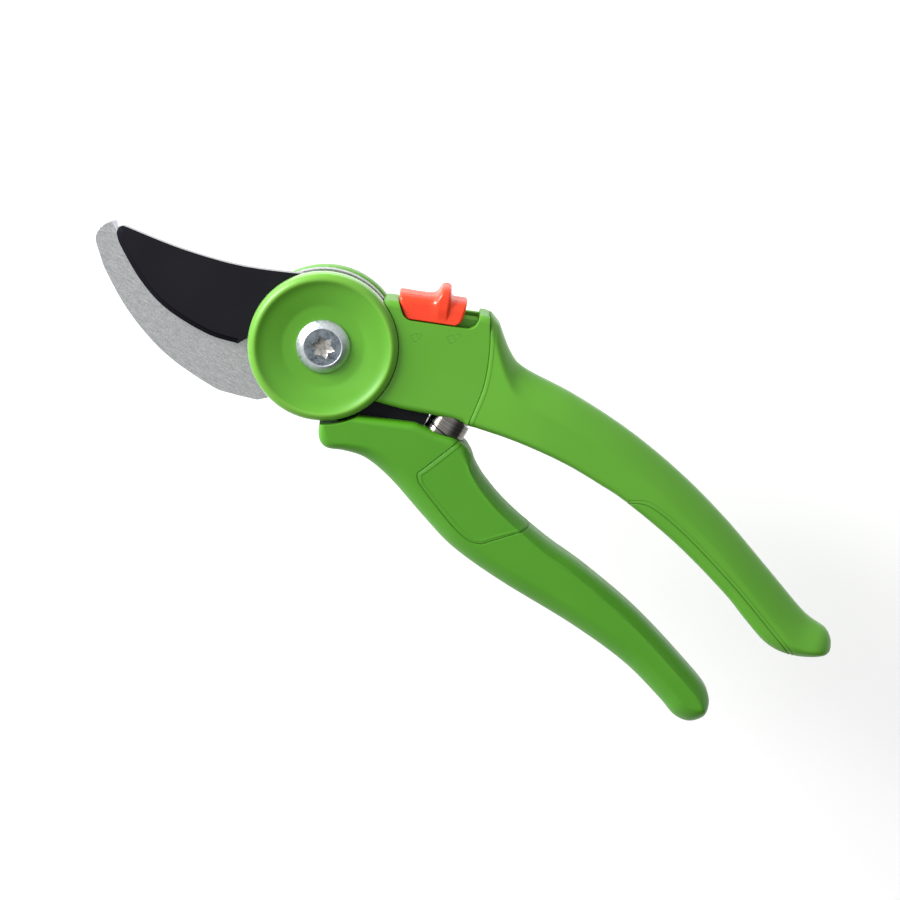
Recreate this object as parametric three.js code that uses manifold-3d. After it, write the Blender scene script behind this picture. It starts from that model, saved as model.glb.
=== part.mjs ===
// Bypass pruning shears, closed and locked, lying on their back.
// Millimetres. The origin is the pivot axis at the back face; +X runs to the handle ends,
// +Y to the palm-side handle and +Z out of the front disc.
import * as THREE from 'three';
import { mergeVertices } from 'three/addons/utils/BufferGeometryUtils.js';
import Module from 'manifold-3d';

const wasm = await Module();
wasm.setup();

// ---- layers from back to front ----
const BACK = 0;
const CHEEK_TOP = 4.4;
const HOOK_BACK = 4.5;
const HOOK_FRONT = 7.3;
const BLADE_BACK = 7.4;
const BLADE_FRONT = 9.9;
const DISC_BACK = 10.1;
const DISC_FRONT = 14.2;
const PANEL_FRONT = 12.6;
const GRIP_FRONT = 14.2;
const BEYOND = 3;              // how far a cutter runs past the face it opens

// ---- round parts at the pivot ----
const DISC_R = 18.2;
const CHEEK_R = 18.3;
const CHEEK_SHOULDER_R = 18.5; // the cheek bulges a little towards the lock
const HOOK_BOSS_R = 18.2;
const BLADE_BOSS_R = 17;
const HEAD_BORE_R = 18.5;      // hollow in the head around disc, blade and hook
const LOWER_ARC_R = 18.9;      // hollow end of the lower handle
const SHANK_R = 3.5;
const SHANK_HOLE_R = 3.7;
const SLEEVE_R = 5;
const SLEEVE_HOLE_R = 5.15;
const BOLT_HEAD_R = 6.5;
const BOLT_FLAT_R = 4.8;
const BOLT_SEAT = 11.8;
const BOLT_EDGE = 12.2;
const BOLT_TOP = 13.7;
const RECESS_R = 2.8;          // to the tips of the six lobes
const RECESS_DEPTH = 1.8;
const NUT_R = 5.8;             // across corners, halved
const NUT_POCKET_R = 6.6;
const NUT_TOP = 2.5;
const NUT_WASHER_BACK = 2.6;
const NUT_WASHER_FRONT = 3.3;
const WASHER_R = 9;
const WASHER_BACK = 10;
const WASHER_FRONT = 10.6;

// ---- fits ----
const GAP = 0.25;              // between a part and the pocket it sits in
const EDGE = 1;                // edge rounding of the head
const GRIP_EDGE = 1.8;         // edge rounding of the palm-side handle
const TONGUE_BACK = 3.4;       // core of the palm-side handle inside its grip
const TONGUE_FRONT = 10.8;
const PAD_DEEP = 2.2;          // thickness of the soft pads on the handle faces
const LOWER_EDGE = 1.5;        // edge rounding of the finger-side handle

// ---- volute spring: axis along Y ----
const SPRING_X = 36.8;
const SPRING_Y = -2.9;
const SPRING_Z = 7;
const SPRING_R = 4.15;         // to the middle of the strip, widest turn
const STRIP_THICK = 0.4;
const STRIP_WIDE = 4.4;
const SPRING_POCKET_R = 4.85;
const UPPER_POCKET_END = 6.6;
const LOWER_POCKET_END = -12.4;
const SPRING_POST_R = 2;
const SPRING_POST_LONG = 3;
const SPRING_POST_ROOT = 0.5;  // how far a post runs into the pocket's end wall

// ---- lock ----
const LOCK_X = 14;             // lower left corner of the slider
const LOCK_Y = 15.9;
const LOCK_TURN = THREE.MathUtils.degToRad(21.5);
const SLIDER_BACK = 2.6;
const SLIDER_FRONT = 12.4;
const RAIL_BACK = 3.8;
const RAIL_FRONT = 9.1;
const RAIL_TOP = 1.6;
const BACK_WALL_TOP = 2.3;
const LATCH_BACK = 7.6;
const LATCH_FRONT = 8.6;
const LOCK_GAP = 0.3;          // between the slider and the walls it straddles

// ---- rivets ----
const RIVET_R = 1.5;
const RIVET_HOLE_R = 1.6;
const RIVET_HEAD_R = 2.6;
const RIVET_SEAT_R = 2.8;
const RIVET_BACK = 0.4;
const RIVET_SEAT = 1.3;
const RIVET_FRONT = 11.2;
const RIVET_END_GAP = 0.1;
const HOOK_RIVETS = [[21.5, 5.5], [29.5, 9]];
const BLADE_RIVETS = [[21, -14], [31, -14.5]];

// ---------------------------------------------------------------- helpers

function closed(points) {
  return points.map(([x, y]) => new THREE.Vector2(x, y));
}

// Outline from runs: each run is a smooth curve that starts where the last one ended.
function outline(start, ...runs) {
  const shape = new THREE.Shape();
  shape.moveTo(...start);
  for (const run of runs) {
    if (run.length === 1) shape.lineTo(...run[0]);
    else shape.splineThru(closed(run));
  }
  shape.closePath();
  return shape;
}

function polygon(points) {
  return new THREE.Shape(closed(points));
}

// Plate between two heights; edge rounds the rims inwards, grow makes it larger all round.
function plate(shape, z0, z1, { edge = 0, grow = 0, steps = 4 } = {}) {
  const size = edge || Math.abs(grow);
  const geometry = new THREE.ExtrudeGeometry(shape, {
    depth: edge ? z1 - z0 - 2 * edge : z1 - z0,
    bevelEnabled: size > 0,
    bevelThickness: edge || 0,
    bevelSize: edge || grow,
    bevelOffset: edge ? -edge : 0,
    bevelSegments: edge ? 3 : 1,
    curveSegments: steps,
  });
  return geometry.translate(0, 0, edge ? z0 + edge : z0);
}

function pin(radius, z0, z1, x = 0, y = 0, sides = 48) {
  const geometry = new THREE.CylinderGeometry(radius, radius, z1 - z0, sides);
  return geometry.rotateX(Math.PI / 2).translate(x, y, (z0 + z1) / 2);
}

function pinAlongY(radius, y0, y1) {
  const geometry = new THREE.CylinderGeometry(radius, radius, y1 - y0, 40);
  return geometry.translate(SPRING_X, (y0 + y1) / 2, SPRING_Z);
}

function turned(profile, sides = 72) {
  return new THREE.LatheGeometry(closed(profile), sides).rotateX(Math.PI / 2);
}

function ring(inner, outer, z0, z1, sides = 48) {
  return turned([[inner, z0], [outer, z0], [outer, z1], [inner, z1], [inner, z0]], sides);
}

function solid(geometry) {
  const bare = geometry.clone();
  bare.deleteAttribute('normal');
  bare.deleteAttribute('uv');
  const merged = mergeVertices(bare, 1e-4);
  const numProp = 3;
  return new wasm.Manifold(new wasm.Mesh({
    numProp,
    vertProperties: new Float32Array(merged.attributes.position.array),
    triVerts: new Uint32Array(merged.index.array),
  }));
}

function geometryOf(manifold) {
  const mesh = manifold.getMesh();
  const geometry = new THREE.BufferGeometry();
  geometry.setAttribute('position', new THREE.BufferAttribute(mesh.vertProperties, 3));
  geometry.setIndex(new THREE.BufferAttribute(mesh.triVerts, 1));
  const facets = geometry.toNonIndexed();
  facets.computeVertexNormals();
  return facets;
}

const add = (a, ...more) => geometryOf(more.reduce((sum, g) => sum.add(solid(g)), solid(a)));
const cut = (a, ...more) => geometryOf(more.reduce((rest, g) => rest.subtract(solid(g)), solid(a)));
const common = (a, b) => geometryOf(solid(a).intersect(solid(b)));

// The lock is drawn along its own slide direction, then turned into place.
function inLock(geometry) {
  return geometry.rotateZ(LOCK_TURN).translate(LOCK_X, LOCK_Y, 0);
}

function lockPlate(points, z0, z1) {
  return inLock(plate(polygon(points), z0, z1));
}

// ---------------------------------------------------------------- outlines

// Both edges of the palm-side handle behind its head, from the crotch round the toe and back.
const GRIP_START = [41.9, 0.9];
const GRIP_RUN = [[50, 2.6], [58.1, 3.7], [66.2, 4.2], [74.2, 4], [82.4, 3.4], [98.4, 0.4],
  [114.5, -4.3], [122.6, -7.5], [130, -10], [136.3, -9.7], [142.3, -7],
  [144.9, -4.1], [142.1, -0.4], [134.9, 0.7], [122.9, 5.1], [106.8, 11],
  [90.8, 15.5], [74.7, 18.3], [58.6, 19.3], [45.5, 18.9], [40.4, 20.5], [34.4, 25.3]];

function headOutline() {
  return outline(
    GRIP_START,
    [[46, 12]],
    [[42, 19.5]],
    [[38, 22.3], [34.4, 25.3]],
    [[32.2, 26], [29.8, 25.8], [27.4, 24.6]],
    [[9.9, 18.4]],
    [[8, 17.4], [7, 15.6]],
    [[4, 10]],
    [[4, -5.7]],
    [[17, -5.7]],
    [[24.1, -3.9], [30.9, -1.6], [36.5, 0.1]],
  );
}

function gripOutline() {
  return outline(GRIP_START, GRIP_RUN, [[24, 33]], [[24, -2]], [[36, -0.2]]);
}

// Region of the head: everything to the left of the parting line across the handle.
function headRegion() {
  return outline(
    [-2, -20],
    [[42, -20]],
    [[40, -0.6]],
    [[39.4, 4.2], [38.2, 11.4], [35, 19.6], [30.2, 28]],
    [[28, 34]],
    [[-2, 34]],
  );
}

function tongueOutline() {
  return outline(
    [30, 8.4],
    [[50, 6.6], [75, 8.4], [96, 5.2], [112, 1]],
    [[113.4, 4.2]],
    [[97, 9.6], [75, 13.6], [50, 13.6], [30, 15]],
  );
}

function upperPadRegion() {
  return outline(
    [80, -6],
    [[82.5, 3.4]],
    [[88, 5.6], [99, 3.8], [115.6, -1.3], [128, -6], [136, -9.2]],
    [[138, -16]],
    [[80, -16]],
  );
}

function upperPadCore() {
  return outline(
    [78, 5.3],
    [[88, 4.4], [98.4, 2.1], [114.5, -2.6], [122.6, -5.7], [129.8, -8.2], [136, -7.7], [141, -5.3]],
    [[141, 20]],
    [[78, 20]],
  );
}

function lowerHandleOutline() {
  return outline(
    [8.6, -17],
    [[9.5, -19], [11.1, -20.7], [13.2, -21.1], [16.3, -19.9]],
    [[22.2, -18.8], [30.3, -20.4], [42.4, -24.7], [52.1, -27.6], [66.1, -29.1], [86.3, -29.8],
      [102.3, -31.6], [114.4, -35], [120, -37], [124.3, -36.3], [126.5, -32.6],
      [124.1, -28], [114.8, -24.2], [98.7, -19.2], [82.7, -16.1], [70.7, -14.7],
      [58.7, -12.3], [50.8, -9.5], [46.4, -7.1], [44.4, -5.4], [42, -4.1]],
    [[38.5, -3.8]],
    [[34.6, -4.6], [28.6, -5.2]],
    [[15.2, -10.8]],
    [[4, -8]],
  );
}

function fingerPadRegion() {
  return outline(
    [40.6, -1],
    [[39.4, -4.4], [35.9, -13.2], [35.1, -15.4], [36.4, -17.1]],
    [[40.6, -19], [49.4, -22.5], [54.5, -23.5], [57.3, -22.6]],
    [[61.9, -17.6], [65.4, -13.8], [67.6, -11]],
    [[67.6, -1]],
  );
}

// The handle under the finger pad, which the pad wraps over.
function fingerPadCore() {
  return outline(
    [30, -7.6],
    [[40, -6.8], [45.4, -8.6], [50.6, -11.6], [58.6, -14.5], [72, -17.1]],
    [[72, -40]],
    [[30, -40]],
  );
}

function bladeOutline() {
  const shape = new THREE.Shape();
  shape.moveTo(-56.5, -0.3);
  shape.splineThru(closed([[-56.4, 0.5], [-55.8, 1.2], [-54.9, 1.4]]));
  shape.splineThru(closed([[-41.2, 3.3], [-27.5, 6.6], [-15.6, 11.3], [-10.2, 14.1]]));
  shape.absarc(0, 0, BLADE_BOSS_R, 2.15, 0.85, true);
  shape.lineTo(11.6, 9.2);
  shape.lineTo(13.4, 7.4);
  shape.absarc(0, 0, BLADE_BOSS_R, 0.52, -0.17, true);
  shape.splineThru(closed([[23, -2.7], [28, -2.4], [30.9, -3.6]]));
  shape.lineTo(31.3, -9);
  shape.splineThru(closed([[31.8, -12.4], [35, -13.8], [46, -15]]));
  shape.lineTo(44, -19);
  shape.splineThru(closed([[32, -17.6], [20, -16.6]]));
  shape.lineTo(10, -13.7);
  shape.absarc(0, 0, BLADE_BOSS_R, -0.94, -2.75, true);
  shape.lineTo(-16.8, -7.9);
  shape.lineTo(-18.1, -10.2);
  shape.splineThru(closed([[-25.6, -11.8], [-36.6, -11.4], [-45.3, -8.6], [-53.9, -3.5], [-56.3, -1.2]]));
  shape.closePath();
  return shape;
}

function hookOutline() {
  const shape = new THREE.Shape();
  shape.moveTo(-56.9, -0.1);
  shape.splineThru(closed([[-57.4, 0.6], [-58.1, 0.8], [-59.5, -0.5], [-60.4, -2.6], [-60.2, -4.9]]));
  shape.splineThru(closed([[-53.5, -11.2], [-43.9, -17], [-31.9, -21.3], [-18.7, -22.7], [-13.2, -21.9], [-7, -20.1]]));
  shape.lineTo(-4.4, -17.7);
  shape.absarc(0, 0, HOOK_BOSS_R, -1.81, -0.2, false);
  shape.lineTo(30.5, 0.4);
  shape.lineTo(31.2, 11);
  shape.lineTo(15.4, 9.7);
  shape.absarc(0, 0, HOOK_BOSS_R, 0.56, 3.4, false);
  shape.splineThru(closed([[-21, -7.3], [-30, -8.5], [-42, -7], [-52, -2.7], [-56.9, -0.1]]));
  return shape;
}

function sliderOutline() {
  return outline(
    [0, 0],
    [[11.7, 0]],
    [[12.7, 0.9], [13.2, 2.6], [13.8, 6]],
    [[10.5, 6.3]],
    [[10.3, 8.2], [9.8, 8.9], [8.8, 9.1], [8, 8.7]],
    [[7.2, 7.3], [5.8, 6.1], [2, 6], [-2.5, 6.2]],
    [[-2.7, 5.6]],
    [[-2.1, 3.7], [-1.4, 1.8], [-0.5, 0.4]],
  );
}

// ---------------------------------------------------------------- root limb

function makeUpperHandle() {
  const body = plate(headOutline(), BACK, PANEL_FRONT, { edge: EDGE });
  const head = common(body, plate(headRegion(), -BEYOND, PANEL_FRONT + BEYOND));
  const hollow = pin(HEAD_BORE_R, CHEEK_TOP, PANEL_FRONT + BEYOND, 0, 0, 96);
  const shoulder = common(
    pin(CHEEK_SHOULDER_R, BACK + EDGE, CHEEK_TOP, 0.45, 0.1, 96),
    plate(polygon([[-20, 0.5], [20, 0.5], [20, 20], [-20, 20]]), BACK, CHEEK_TOP),
  );
  const cheek = turned([
    [0, BACK], [CHEEK_R - 1.2, BACK], [CHEEK_R, 1.2], [CHEEK_R, CHEEK_TOP], [0, CHEEK_TOP],
  ], 96);
  const tongue = plate(tongueOutline(), TONGUE_BACK, TONGUE_FRONT);
  const whole = add(cut(head, hollow), cheek, shoulder, tongue);

  const hookSlot = plate(hookOutline(), CHEEK_TOP, BLADE_BACK, { grow: GAP });
  const bladeSlot = plate(polygon([[12, -12], [32.4, -12], [32.4, -1.9], [12, -1.9]]),
    HOOK_FRONT, DISC_BACK);
  const shankHole = pin(SHANK_HOLE_R, -BEYOND, CHEEK_TOP + 1);
  const nutPocket = pin(NUT_POCKET_R, -BEYOND, NUT_WASHER_FRONT + 0.1);
  const springPocket = pinAlongY(SPRING_POCKET_R, -9, UPPER_POCKET_END);

  const frontNotch = lockPlate([
    [-0.4, -0.3], [16.2, -0.3], [17.2, 1.7], [17.4, 4], [18.4, 6], [19, 14], [-9, 14], [-3.1, 6], [-2.2, 3.3],
  ], RAIL_FRONT, PANEL_FRONT + BEYOND);
  const railNotch = lockPlate([
    [-1.9, RAIL_TOP], [17.2, RAIL_TOP], [17.4, 4], [18.4, 6], [19, 14], [-9, 14], [-3.1, 6], [-2.2, 3.3],
  ], RAIL_BACK - 0.1, RAIL_FRONT + 0.1);
  const backNotch = lockPlate([
    [-2, BACK_WALL_TOP], [17.3, BACK_WALL_TOP], [17.4, 4], [18.4, 6], [19, 14], [-9, 14], [-3.1, 6],
  ], -BEYOND, RAIL_BACK);
  const backGap = lockPlate([[-0.6, -1.4], [16.2, -1.4], [17.3, 2.6], [-2, 2.6]],
    SLIDER_BACK - LOCK_GAP, RAIL_BACK);
  const detentPocket = lockPlate([[0.4, -2.4], [15.4, -2.4], [15.4, 0], [0.4, 0]], RAIL_FRONT, 11.2);
  const latchSlot = lockPlate([
    [-4, -6.4], [9.2, -6.4], [9.2, 2], [1.4, 2], [1.4, -2.2], [-4, -2.2],
  ], LATCH_BACK - LOCK_GAP, LATCH_FRONT + LOCK_GAP);

  const rivetHoles = HOOK_RIVETS.flatMap(([x, y]) => [
    pin(RIVET_HOLE_R, -BEYOND, RIVET_FRONT + RIVET_END_GAP, x, y, 24),
    pin(RIVET_SEAT_R, -BEYOND, RIVET_SEAT, x, y, 32),
  ]);
  const post = pinAlongY(SPRING_POST_R, UPPER_POCKET_END - SPRING_POST_LONG, UPPER_POCKET_END + SPRING_POST_ROOT);
  const open = cut(whole, hookSlot, bladeSlot, shankHole, nutPocket, springPocket, frontNotch,
    railNotch, backNotch, backGap, detentPocket, latchSlot, ...rivetHoles);
  return add(open, common(post, plate(headRegion(), -BEYOND, PANEL_FRONT)));
}

function makeUpperGrip() {
  const body = plate(gripOutline(), BACK, GRIP_FRONT, { edge: GRIP_EDGE });
  const head = plate(headRegion(), -BEYOND, GRIP_FRONT + BEYOND, { grow: GAP });
  const pocket = plate(tongueOutline(), TONGUE_BACK - GAP, TONGUE_FRONT + GAP, { grow: GAP });
  const springPocket = pinAlongY(SPRING_POCKET_R, -9, UPPER_POCKET_END);
  const padRecess = cut(
    plate(upperPadRegion(), -BEYOND, GRIP_FRONT + BEYOND, { grow: GAP }),
    plate(upperPadCore(), PAD_DEEP, GRIP_FRONT - PAD_DEEP),
  );
  return cut(body, head, pocket, springPocket, padRecess);
}

function makeUpperGripPad() {
  const body = plate(gripOutline(), BACK, GRIP_FRONT, { edge: GRIP_EDGE });
  const strip = common(body, plate(upperPadRegion(), -BEYOND, GRIP_FRONT + BEYOND));
  return cut(strip, plate(upperPadCore(), PAD_DEEP - GAP, GRIP_FRONT - PAD_DEEP + GAP, { grow: GAP }));
}

function makeHook() {
  const sleeveHole = pin(SLEEVE_HOLE_R, 0, DISC_FRONT);
  const rivetHoles = HOOK_RIVETS.map(([x, y]) => pin(RIVET_HOLE_R, 0, DISC_FRONT, x, y, 24));
  return cut(plate(hookOutline(), HOOK_BACK, HOOK_FRONT), sleeveHole, ...rivetHoles);
}

function makeRivet([x, y]) {
  return add(
    pin(RIVET_R, RIVET_BACK, RIVET_FRONT, x, y, 24),
    pin(RIVET_HEAD_R, RIVET_BACK, RIVET_SEAT - RIVET_END_GAP, x, y, 32),
  );
}

function makeFrontDisc() {
  return turned([
    [SHANK_HOLE_R, WASHER_FRONT + 0.1], [WASHER_R + 0.2, WASHER_FRONT + 0.1],
    [WASHER_R + 0.2, DISC_BACK], [17.4, DISC_BACK], [DISC_R, 10.9], [DISC_R, 12.2],
    [17.8, 13.4], [17.1, DISC_FRONT], [16.3, 14], [13.5, 12.8], [10, 11.9], [8, 11.7],
    [SHANK_HOLE_R, 11.7], [SHANK_HOLE_R, WASHER_FRONT + 0.1],
  ], 96);
}

function makeBolt() {
  const body = turned([
    [0, BACK], [SHANK_R, BACK], [SHANK_R, BOLT_SEAT], [BOLT_HEAD_R, BOLT_SEAT],
    [BOLT_HEAD_R, BOLT_EDGE], [BOLT_FLAT_R, BOLT_TOP], [0, BOLT_TOP],
  ], 60);
  const recess = new THREE.Shape();
  const lobes = 6;
  const steps = 60;
  for (let i = 0; i < steps; i++) {
    const angle = (i / steps) * 2 * Math.PI;
    const radius = RECESS_R - 0.3 + 0.3 * Math.cos(lobes * angle);
    const point = [radius * Math.cos(angle), radius * Math.sin(angle)];
    if (i === 0) recess.moveTo(...point);
    else recess.lineTo(...point);
  }
  return cut(body, plate(recess, BOLT_TOP - RECESS_DEPTH, BOLT_TOP + BEYOND));
}

function makeNut() {
  return cut(pin(NUT_R, BACK, NUT_TOP, 0, 0, 6), pin(SHANK_R + 0.1, -BEYOND, NUT_TOP + BEYOND));
}

// Flat strip wound into a barrel: the middle turn is the widest and both ends wind inwards.
function makeVoluteSpring() {
  const perTurn = 28;
  const turnsEachSide = 2;
  const middlePitch = 4.7;
  const endPitch = 2;
  const corners = [];
  const faces = [];
  const count = 2 * turnsEachSide * perTurn;
  for (let i = 0; i <= count; i++) {
    const turn = i / perTurn - turnsEachSide;
    const far = Math.abs(turn);
    const radius = SPRING_R - Math.max(0, Math.min(far, 1) - 0.5) - 0.5 * Math.max(0, far - 1);
    const rise = Math.sign(turn) * (middlePitch * Math.min(far, 1) + endPitch * Math.max(0, far - 1));
    const angle = turn * 2 * Math.PI;
    const sides = [[-1, -1], [1, -1], [1, 1], [-1, 1]];
    for (const [out, up] of sides) {
      const r = radius + (out * STRIP_THICK) / 2;
      corners.push(
        SPRING_X + r * Math.cos(angle),
        SPRING_Y + rise + (up * STRIP_WIDE) / 2,
        SPRING_Z + r * Math.sin(angle),
      );
    }
    if (i === count) continue;
    for (let side = 0; side < 4; side++) {
      const a = 4 * i + side;
      const b = 4 * i + ((side + 1) % 4);
      faces.push(a, b, b + 4, a, b + 4, a + 4);
    }
  }
  const last = 4 * count;
  faces.push(0, 2, 1, 0, 3, 2, last, last + 1, last + 2, last, last + 2, last + 3);
  const geometry = new THREE.BufferGeometry();
  geometry.setAttribute('position', new THREE.Float32BufferAttribute(corners, 3));
  geometry.setIndex(faces);
  return geometry;
}

function makeDetentSpring() {
  return lockPlate([
    [1, -2.1], [15, -2.1], [15, -1.7], [12.2, -1.7], [9, -0.9], [8, -0.9], [4.6, -1.7], [1, -1.7],
  ], 9.5, 10.9);
}

// ---------------------------------------------------------------- moving limb

function makeLowerHandle() {
  const body = plate(lowerHandleOutline(), BACK, GRIP_FRONT, { edge: LOWER_EDGE });
  const hollow = pin(LOWER_ARC_R, -BEYOND, GRIP_FRONT + BEYOND, 0, 0, 96);
  const bladeSlot = plate(bladeOutline(), BLADE_BACK - 0.1, BLADE_FRONT + 0.1, { grow: GAP });
  const springPocket = pinAlongY(SPRING_POCKET_R, LOWER_POCKET_END, 0);
  const post = pinAlongY(SPRING_POST_R, LOWER_POCKET_END - SPRING_POST_ROOT, LOWER_POCKET_END + SPRING_POST_LONG);
  const padRecess = cut(
    plate(fingerPadRegion(), -BEYOND, GRIP_FRONT + BEYOND, { grow: GAP }),
    plate(fingerPadCore(), PAD_DEEP, GRIP_FRONT - PAD_DEEP),
  );
  const rivetHoles = BLADE_RIVETS.flatMap(([x, y]) => [
    pin(RIVET_HOLE_R, -BEYOND, RIVET_FRONT + RIVET_END_GAP, x, y, 24),
    pin(RIVET_SEAT_R, -BEYOND, RIVET_SEAT, x, y, 32),
  ]);
  return add(cut(body, hollow, bladeSlot, springPocket, padRecess, ...rivetHoles), post);
}

function makeFingerPad() {
  const body = plate(lowerHandleOutline(), BACK, GRIP_FRONT, { edge: LOWER_EDGE });
  const region = common(body, plate(fingerPadRegion(), -BEYOND, GRIP_FRONT + BEYOND));
  const core = plate(fingerPadCore(), PAD_DEEP - GAP, GRIP_FRONT - PAD_DEEP + GAP, { grow: GAP });
  return cut(region, core, pinAlongY(SPRING_POCKET_R, LOWER_POCKET_END, 0));
}

function makeBlade() {
  const sleeveHole = pin(SLEEVE_HOLE_R, 0, DISC_FRONT);
  const rivetHoles = BLADE_RIVETS.map(([x, y]) => pin(RIVET_HOLE_R, 0, DISC_FRONT, x, y, 24));
  return cut(plate(bladeOutline(), BLADE_BACK, BLADE_FRONT), sleeveHole, ...rivetHoles);
}

// ---------------------------------------------------------------- lock

function makeSlider() {
  const side = plate(sliderOutline(), SLIDER_BACK, SLIDER_FRONT);
  const middle = (SLIDER_BACK + SLIDER_FRONT) / 2;
  const half = (SLIDER_FRONT - SLIDER_BACK) / 2;
  const arch = new THREE.Shape();
  arch.moveTo(-half, -1);
  arch.lineTo(half, -1);
  arch.splineThru(closed([[half, 4], [half - 1.6, 7.4], [1.6, 9.2], [-1.6, 9.2], [1.6 - half, 7.4], [-half, 4]]));
  arch.closePath();
  const tunnel = plate(arch, -4, 15).rotateY(Math.PI / 2).translate(0, 0, middle);
  const shell = common(side, tunnel);
  const overRail = plate(polygon([
    [-4, -2], [18, -2], [18, RAIL_TOP + LOCK_GAP], [-4, RAIL_TOP + LOCK_GAP],
  ]), RAIL_BACK - LOCK_GAP, RAIL_FRONT + LOCK_GAP);
  const overBack = plate(polygon([
    [-4, -2], [18, -2], [18, BACK_WALL_TOP + LOCK_GAP], [-4, BACK_WALL_TOP + LOCK_GAP],
  ]), SLIDER_BACK - 1, RAIL_BACK - 0.2);
  const latchSeat = plate(polygon([[1.9, 0], [5.6, 0], [5.6, 4], [1.9, 4]]),
    LATCH_BACK - 0.1, LATCH_FRONT + 0.1);
  return inLock(cut(shell, overRail, overBack, latchSeat));
}

function makeLatch() {
  return lockPlate([[2.1, -2.8], [-1.9, -2.8], [-1.5, -5.8], [5.4, -5.8], [5.4, 3.8], [2.1, 3.8]],
    LATCH_BACK, LATCH_FRONT);
}

// ---------------------------------------------------------------- assembly

const group = new THREE.Group();
group.name = 'pruning_shears';

const plastic = (color, roughness) => ({ color, roughness, metalness: 0 });
const metal = (color, roughness) => ({ color, roughness, metalness: 1 });
const GREEN = plastic(0x5ea33a, 0.45);
const RED = plastic(0xf2461f, 0.35);
const STEEL = metal(0xa8abac, 0.4);
const BRIGHT = metal(0xc9cbcc, 0.25);
const BLACK = plastic(0x25242a, 0.5);

function place(name, geometry, finish) {
  const mesh = new THREE.Mesh(geometry, new THREE.MeshStandardMaterial(finish));
  mesh.name = name;
  group.add(mesh);
}

place('upper_handle', makeUpperHandle(), GREEN);
place('upper_grip', makeUpperGrip(), GREEN);
place('upper_grip_pad', makeUpperGripPad(), GREEN);
place('hook', makeHook(), STEEL);
HOOK_RIVETS.forEach((spot, i) => place(`hook_rivet_${i + 1}`, makeRivet(spot), BRIGHT));
place('front_disc', makeFrontDisc(), GREEN);
place('pivot_bolt', makeBolt(), BRIGHT);
place('pivot_nut', makeNut(), BRIGHT);
place('nut_washer', ring(SHANK_HOLE_R, 6.2, NUT_WASHER_BACK, NUT_WASHER_FRONT), BRIGHT);
place('pivot_sleeve', ring(SHANK_HOLE_R, SLEEVE_R, HOOK_BACK, BLADE_FRONT), STEEL);
place('friction_washer', ring(SLEEVE_HOLE_R, WASHER_R, WASHER_BACK, WASHER_FRONT, 64), BLACK);
place('volute_spring', makeVoluteSpring(), BRIGHT);
place('detent_spring', makeDetentSpring(), BRIGHT);

place('lower_handle', makeLowerHandle(), GREEN);
place('finger_pad', makeFingerPad(), GREEN);
place('cutting_blade', makeBlade(), BLACK);
BLADE_RIVETS.forEach((spot, i) => place(`blade_rivet_${i + 1}`, makeRivet(spot), BRIGHT));

place('lock_slider', makeSlider(), RED);
place('lock_latch', makeLatch(), BRIGHT);

export default group;
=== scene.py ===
"""Looks of the bypass pruning shears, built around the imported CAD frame.

Outlines are in millimetres in the frame's axes: origin at the pivot, +X to the handle ends,
+Y to the palm-side handle, +Z out of the front disc. Meshes are made in metres.
"""
import math

import bmesh
import bpy
import numpy as np
from mathutils import Matrix, Vector


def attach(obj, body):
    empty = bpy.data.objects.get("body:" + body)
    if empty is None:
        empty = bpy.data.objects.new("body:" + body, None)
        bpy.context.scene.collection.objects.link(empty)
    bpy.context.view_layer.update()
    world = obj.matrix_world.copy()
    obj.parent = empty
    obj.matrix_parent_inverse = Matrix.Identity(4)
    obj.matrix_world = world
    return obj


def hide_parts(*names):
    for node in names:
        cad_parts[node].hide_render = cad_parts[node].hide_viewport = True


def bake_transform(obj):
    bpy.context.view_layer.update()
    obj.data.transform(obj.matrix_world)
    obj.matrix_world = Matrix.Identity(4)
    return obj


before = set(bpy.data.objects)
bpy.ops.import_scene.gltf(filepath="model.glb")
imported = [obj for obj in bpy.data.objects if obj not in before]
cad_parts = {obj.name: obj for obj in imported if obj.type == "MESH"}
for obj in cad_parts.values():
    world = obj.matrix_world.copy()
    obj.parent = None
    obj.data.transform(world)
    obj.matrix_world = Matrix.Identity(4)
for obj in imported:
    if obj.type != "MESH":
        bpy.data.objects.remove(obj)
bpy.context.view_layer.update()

MM = 0.001
FIXED = "upper_limb"
MOVING = "lower_limb"
LOCK = "lock"

# ---- layers, back to front ----
CHEEK_TOP = 4.4
HOOK_BACK, HOOK_FRONT = 4.5, 7.3
BLADE_BACK, BLADE_FRONT = 7.4, 9.9
DISC_BACK = 10.1
PANEL_FRONT = 12.6
GRIP_FRONT = 14.2
FAR = 30

# ---- round parts ----
CHEEK_R = 18.3
HOOK_BOSS_R = 18.2
BLADE_BOSS_R = 17
HEAD_BORE_R = 18.24
CHEEK_SHOULDER_R = 18.5
LOWER_ARC_R = 18.9
SLEEVE_HOLE_R = 5.15
SHANK_R = 3.5
BOLT_HEAD_R = 6.5
BOLT_FLAT_R = 4.75
BOLT_SEAT = 11.8
BOLT_EDGE = 12.2
BOLT_TOP = 13.7
DISC_WALL_FROM_R = 17.7       # where the disc's outer wall and its rim begin
DISC_RIM_FROM_R, DISC_RIM_FROM_Z = 16, 13

SPLIT = 0.015                 # half the space between two moulded pieces

SPRING_X, SPRING_Y, SPRING_Z = 35.95, -2.9, 7
SPRING_R = 4.75
SPRING_TURNS = 2              # each way from the middle
FIRST_TURN_RISE, NEXT_TURN_RISE = 4.7, 2.0
STRIP_WIDTH, STRIP_THICKNESS = 4.4, 0.4
SPRING_POCKET_R = 5.1
UPPER_POCKET = (-9, 6.6)      # from where to where along Y
LOWER_POCKET = (-12.4, 0)

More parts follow.
